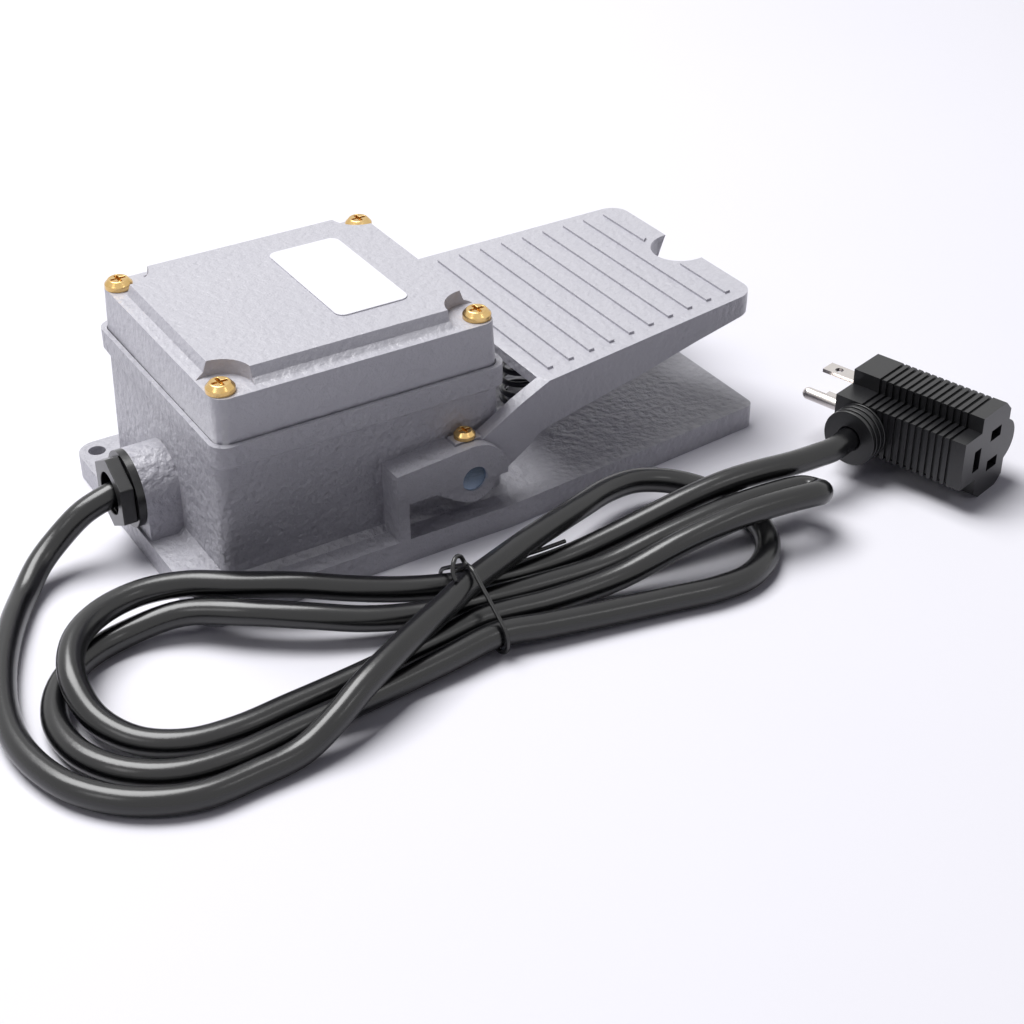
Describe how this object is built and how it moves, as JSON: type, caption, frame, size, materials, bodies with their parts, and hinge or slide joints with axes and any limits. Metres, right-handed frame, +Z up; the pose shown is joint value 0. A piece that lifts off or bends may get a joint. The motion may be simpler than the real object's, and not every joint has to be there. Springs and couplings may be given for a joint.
{
  "type": "foot switch",
  "caption": "Cast foot switch box with a hinged, spring-returned ribbed pedal, a bundled cord and a piggy-back plug.",
  "frame": {"origin": "centre of the foot switch's footprint on the floor, cord and plug left out", "axes": "+X from the gland to the pedal's toe, +Y to the left seen from the gland, +Z up"},
  "size_m": [0.373, 0.203, 0.084],
  "materials": {
    "casting_paint": "wrinkled blue-grey paint on cast aluminium",
    "cover_paint": "smooth blue-grey paint on cast aluminium",
    "black_rubber": "plain black rubber",
    "yellow_zinc": "yellow zinc plated steel",
    "label": "bare white label plate",
    "bright_zinc": "bright zinc plated steel",
    "bronze": "sintered bronze",
    "black_steel": "blackened steel",
    "bare_steel": "machined steel",
    "black_plastic": "black moulded nylon",
    "red_plastic": "red moulded plastic",
    "copper": "copper alloy strip",
    "brass": "brass plate",
    "black_pvc": "glossy black cord jacket",
    "white_pvc": "white wire insulation",
    "green_pvc": "green wire insulation",
    "plug_pvc": "satin black moulded plug",
    "nickel": "nickel plated brass"
  },
  "bodies": {
    "base": {"base_casting": "casting_paint", "box_cover": "cover_paint", "cover_gasket": "black_rubber", "cover_screws": "yellow_zinc", "label_plate": "label", "shaft_bushes": "bronze", "return_spring": "black_steel", "switch_bracket": "bright_zinc", "switch_bracket_screws": "bright_zinc", "switch_case": "black_plastic", "switch_case_lid": "black_plastic", "switch_screws": "bright_zinc", "switch_terminals": "brass", "terminal_screws": "bright_zinc", "earth_screw": "bright_zinc", "live_wire": "black_pvc", "load_wire": "white_pvc", "earth_wire": "green_pvc", "gland_body": "black_plastic", "gland_seal": "black_rubber", "gland_nut": "black_plastic", "gland_locknut": "bright_zinc", "cord_lead": "black_pvc", "cord_hank": "black_pvc", "cord_tail": "black_pvc", "cord_tie": "black_pvc", "plug_body": "plug_pvc", "plug_collar": "plug_pvc", "plug_blades": "nickel", "plug_ground_pin": "nickel"},
    "pedal": {"pedal": "casting_paint", "pivot_shaft": "bright_zinc", "shaft_lock_screws": "yellow_zinc", "switch_cam": "bare_steel", "cam_grub_screw": "black_steel"},
    "button": {"switch_button": "red_plastic", "contact_blade": "copper"}
  },
  "joints": [
    {"name": "pedal_hinge", "type": "hinge", "parent": "base", "child": "pedal", "pos_m": [-0.0103, 0, 0.0252], "axis": [0, 1, 0], "range_deg": [0, 9], "stiffness_Nm_per_rad": 6, "springref_deg": -17.19, "deforming": ["return_spring"]},
    {"name": "button_slide", "type": "slide", "parent": "base", "child": "button", "axis": [0, 0, 1], "range_m": [0, 0.0025]}
  ],
  "couplings": [
    {"joint": "button_slide", "follows": "pedal_hinge", "m_per_rad": 0.0156}
  ]
}
